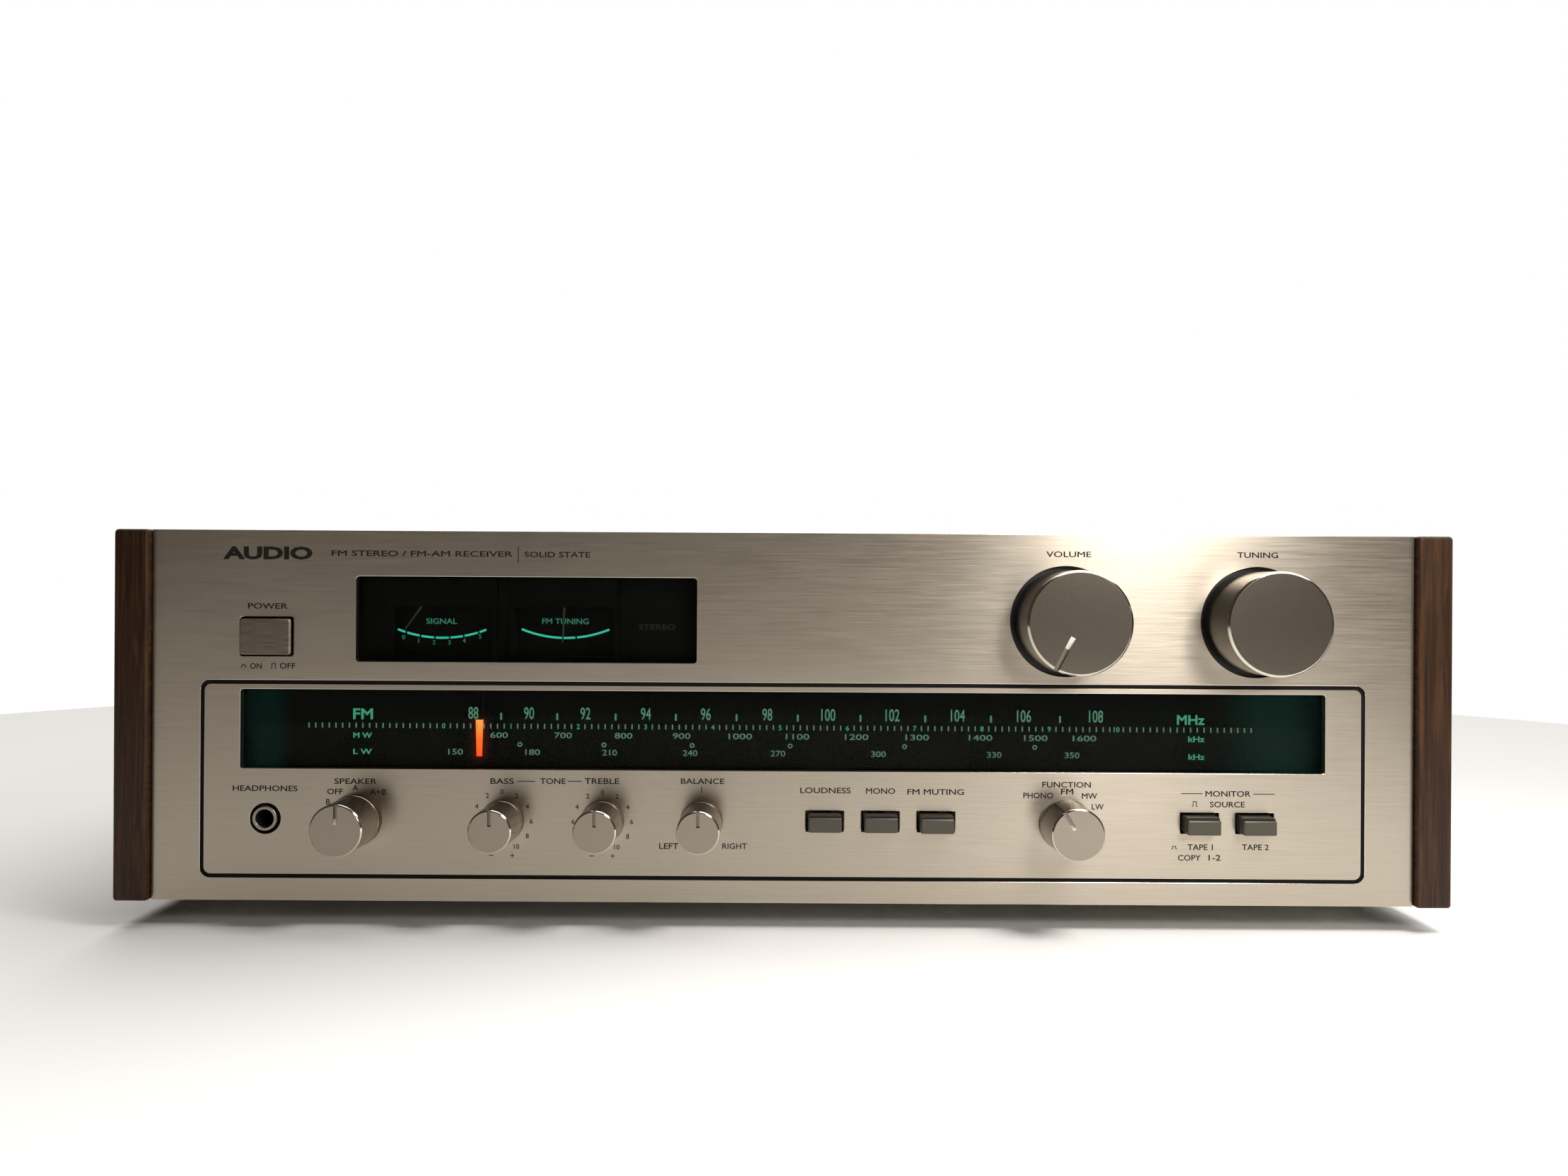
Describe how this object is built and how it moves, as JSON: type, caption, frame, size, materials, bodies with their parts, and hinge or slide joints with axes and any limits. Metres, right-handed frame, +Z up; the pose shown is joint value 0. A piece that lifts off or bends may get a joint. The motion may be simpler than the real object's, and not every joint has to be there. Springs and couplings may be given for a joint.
{
  "type": "stereo receiver",
  "caption": "Low, wide hi-fi stereo receiver with a brushed metal front between wooden cheeks, a lit tuning dial, needle meters, rotary knobs and push buttons.",
  "frame": {"origin": "below the middle of the whole object, on the plane the feet stand on", "axes": "+X to the right seen from the front, the front panel faces -Y, +Z up"},
  "size_m": [0.485, 0.325, 0.145],
  "materials": {
    "brushed_panel": "horizontally brushed, clear anodised",
    "knob_metal": "brushed face with a polished rim",
    "walnut": "dark walnut veneer, satin",
    "steel": "zinc plated sheet",
    "black_paint": "fine textured black paint",
    "window_glass": "smoked and polished",
    "black_plastic": "moulded, satin",
    "button_plastic": "metallic painted, satin",
    "bright_metal": "nickel plated",
    "brass": "turned",
    "circuit_board": "phenolic laminate",
    "transformer": "varnished laminations",
    "capacitor_sleeve": "shrink sleeve",
    "rubber": "matt",
    "pointer_glow": "lit from inside, orange-red",
    "ferrite": "moulded holder"
  },
  "bodies": {
    "chassis": {"front_panel": "brushed_panel", "cheek_left": "walnut", "cheek_right": "walnut", "bottom_plate": "steel", "side_frame_left": "steel", "side_frame_right": "steel", "control_subchassis": "steel", "volume_control": "steel", "pointer_rail": "steel", "tuning_capacitor_frame": "steel", "top_cover": "black_paint", "rear_panel": "black_paint", "dial_backplate": "black_paint", "heat_sink": "black_paint", "dial_window": "window_glass", "meter_window": "window_glass", "knob_recess_plate": "black_plastic", "signal_meter": "black_plastic", "tuning_meter": "black_plastic", "power_switch": "black_plastic", "speaker_socket_block": "black_plastic", "aerial_terminals": "black_plastic", "aerial_bracket": "black_plastic", "headphone_jack": "bright_metal", "phono_jack_block": "bright_metal", "main_board": "circuit_board", "tone_control_board": "circuit_board", "speaker_switch": "circuit_board", "function_switch": "circuit_board", "button_bank_left": "circuit_board", "button_bank_right": "circuit_board", "power_transformer": "transformer", "filter_capacitor_1": "capacitor_sleeve", "filter_capacitor_2": "capacitor_sleeve", "foot_front_left": "rubber", "foot_front_right": "rubber", "foot_rear_left": "rubber", "foot_rear_right": "rubber", "mains_gland": "rubber"},
    "volume": {"volume_knob": "knob_metal", "volume_shaft": "steel"},
    "tuning": {"tuning_knob": "knob_metal", "tuning_flywheel": "brass"},
    "dial_pointer": {"dial_pointer": "pointer_glow"},
    "dial_drum": {"dial_drum": "black_plastic"},
    "tuning_rotor": {"tuning_capacitor_rotor": "brass"},
    "speaker_selector": {"speaker_knob": "knob_metal"},
    "bass": {"bass_knob": "knob_metal"},
    "treble": {"treble_knob": "knob_metal"},
    "balance": {"balance_knob": "knob_metal"},
    "function_selector": {"function_knob": "knob_metal"},
    "power_button": {"power_button": "knob_metal"},
    "loudness_button": {"loudness_button": "button_plastic"},
    "mono_button": {"mono_button": "button_plastic"},
    "fm_muting_button": {"fm_muting_button": "button_plastic"},
    "tape_1_button": {"tape_1_button": "button_plastic"},
    "tape_2_button": {"tape_2_button": "button_plastic"},
    "signal_needle": {"signal_needle": "bright_metal"},
    "tuning_needle": {"tuning_needle": "bright_metal"},
    "ferrite_aerial": {"ferrite_aerial": "ferrite"}
  },
  "joints": [
    {"name": "volume_turn", "type": "hinge", "parent": "chassis", "child": "volume", "pos_m": [0.103, -0.1415, 0.1133], "axis": [0, 1, 0], "range_deg": [0, 300]},
    {"name": "tuning_turn", "type": "hinge", "parent": "chassis", "child": "tuning", "pos_m": [0.1725, -0.1415, 0.1133], "axis": [0, 1, 0], "range_deg": [-102, 1692]},
    {"name": "pointer_slide", "type": "slide", "parent": "chassis", "child": "dial_pointer", "axis": [1, 0, 0], "range_m": [-0.0145, 0.2365]},
    {"name": "drum_turn", "type": "hinge", "parent": "chassis", "child": "dial_drum", "pos_m": [0.06, -0.114, 0.08], "axis": [0, 1, 0], "range_deg": [-30, 484]},
    {"name": "capacitor_turn", "type": "hinge", "parent": "chassis", "child": "tuning_rotor", "pos_m": [0.087, -0.07, 0.08], "axis": [0, 1, 0], "range_deg": [-170, 11]},
    {"name": "speaker_turn", "type": "hinge", "parent": "chassis", "child": "speaker_selector", "pos_m": [-0.1558, -0.1415, 0.03935], "axis": [0, 1, 0], "range_deg": [-60, 30]},
    {"name": "bass_turn", "type": "hinge", "parent": "chassis", "child": "bass", "pos_m": [-0.1022, -0.1415, 0.03935], "axis": [0, 1, 0], "range_deg": [-150, 150]},
    {"name": "treble_turn", "type": "hinge", "parent": "chassis", "child": "treble", "pos_m": [-0.0656, -0.1415, 0.03935], "axis": [0, 1, 0], "range_deg": [-150, 150]},
    {"name": "balance_turn", "type": "hinge", "parent": "chassis", "child": "balance", "pos_m": [-0.0295, -0.1415, 0.03935], "axis": [0, 1, 0], "range_deg": [-150, 150]},
    {"name": "function_turn", "type": "hinge", "parent": "chassis", "child": "function_selector", "pos_m": [0.1032, -0.1415, 0.03935], "axis": [0, 1, 0], "range_deg": [0, 90]},
    {"name": "power_press", "type": "slide", "parent": "chassis", "child": "power_button", "axis": [0, -1, 0], "range_m": [0, 0.0045]},
    {"name": "loudness_press", "type": "slide", "parent": "chassis", "child": "loudness_button", "axis": [0, 1, 0], "range_m": [0, 0.0035], "stiffness_N_per_m": 400},
    {"name": "mono_press", "type": "slide", "parent": "chassis", "child": "mono_button", "axis": [0, 1, 0], "range_m": [0, 0.0035], "stiffness_N_per_m": 400},
    {"name": "fm_muting_press", "type": "slide", "parent": "chassis", "child": "fm_muting_button", "axis": [0, 1, 0], "range_m": [0, 0.0035], "stiffness_N_per_m": 400},
    {"name": "tape_1_press", "type": "slide", "parent": "chassis", "child": "tape_1_button", "axis": [0, 1, 0], "range_m": [0, 0.0035], "stiffness_N_per_m": 400},
    {"name": "tape_2_press", "type": "slide", "parent": "chassis", "child": "tape_2_button", "axis": [0, 1, 0], "range_m": [0, 0.0035], "stiffness_N_per_m": 400},
    {"name": "signal_swing", "type": "hinge", "parent": "chassis", "child": "signal_needle", "pos_m": [-0.1259, -0.1329, 0.1288], "axis": [0, -1, 0], "range_deg": [0, 72], "stiffness_Nm_per_rad": 0.0008},
    {"name": "tuning_swing", "type": "hinge", "parent": "chassis", "child": "tuning_needle", "pos_m": [-0.0809, -0.1329, 0.1288], "axis": [0, -1, 0], "range_deg": [-33, 38], "stiffness_Nm_per_rad": 0.0008},
    {"name": "aerial_swing", "type": "hinge", "parent": "chassis", "child": "ferrite_aerial", "pos_m": [-0.07, 0.155, 0.122], "axis": [0, 0, 1], "range_deg": [0, 85]}
  ],
  "couplings": [
    {"joint": "pointer_slide", "follows": "tuning_turn", "m_per_rad": 0.008},
    {"joint": "drum_turn", "follows": "tuning_turn", "ratio": 0.28571},
    {"joint": "capacitor_turn", "follows": "tuning_turn", "ratio": -0.1}
  ]
}
